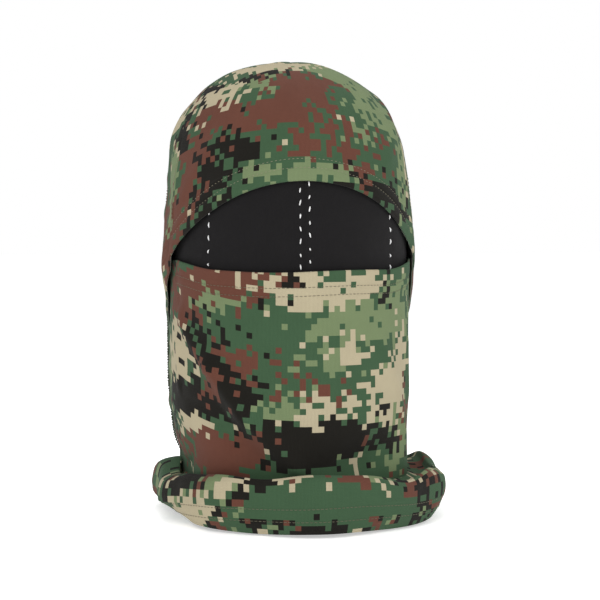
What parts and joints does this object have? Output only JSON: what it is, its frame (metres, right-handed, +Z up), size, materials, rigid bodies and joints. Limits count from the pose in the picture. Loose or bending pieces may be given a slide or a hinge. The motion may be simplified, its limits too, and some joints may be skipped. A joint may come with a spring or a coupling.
{
  "type": "face mask",
  "caption": "Camouflage knit full-head face mask with a wide eye opening and bunched neck, fitted on a black cloth-covered display form.",
  "frame": {"origin": "centre of the display form's base on the table", "axes": "+Z up, the face looks along -Y, +X is the viewer's right when facing the mask"},
  "size_m": [0.2028, 0.2308, 0.3136],
  "materials": {
    "camo_knit": "matt printed knit",
    "seam_thread": "matt overlocked seam",
    "topstitch_thread": "matt thread",
    "form_cloth": "matt black cotton",
    "white_thread": "matt thread",
    "foam": "matt foam",
    "board": "black painted board"
  },
  "bodies": {
    "display_form": {"foam_core": "foam", "base_board": "board", "cover_front_right": "form_cloth", "cover_side_right": "form_cloth", "cover_back": "form_cloth", "cover_side_left": "form_cloth", "cover_front_left": "form_cloth", "running_stitches_centre": "white_thread", "running_stitches_left": "white_thread", "running_stitches_right": "white_thread", "running_stitches_back": "white_thread"},
    "hood": {"back_panel": "camo_knit", "brow_panel": "camo_knit", "face_panel": "camo_knit", "crown_seam": "seam_thread", "side_seam_left": "seam_thread", "side_seam_right": "seam_thread"},
    "brow_edge": {"brow_hem": "camo_knit", "brow_topstitch_lower": "topstitch_thread", "brow_topstitch_upper": "topstitch_thread"},
    "face_edge": {"face_hem": "camo_knit", "face_topstitch_upper": "topstitch_thread", "face_topstitch_lower": "topstitch_thread"},
    "neck_cuff": {"front_skirt": "camo_knit", "back_skirt": "camo_knit", "neck_hem": "camo_knit", "neck_topstitch_upper": "topstitch_thread", "neck_topstitch_lower": "topstitch_thread"}
  },
  "joints": [
    {"name": "mask_lift", "type": "slide", "parent": "display_form", "child": "hood", "axis": [0, 0, 1], "range_m": [0, 0.33]},
    {"name": "brow_raise", "type": "slide", "parent": "hood", "child": "brow_edge", "axis": [0, 0, 1], "range_m": [0, 0.018], "deforming": ["brow_panel"]},
    {"name": "face_drop", "type": "slide", "parent": "hood", "child": "face_edge", "axis": [0, 0, -1], "range_m": [0, 0.045], "deforming": ["face_panel"]},
    {"name": "neck_roll", "type": "slide", "parent": "hood", "child": "neck_cuff", "axis": [0, 0, 1], "range_m": [0, 0.03]}
  ]
}
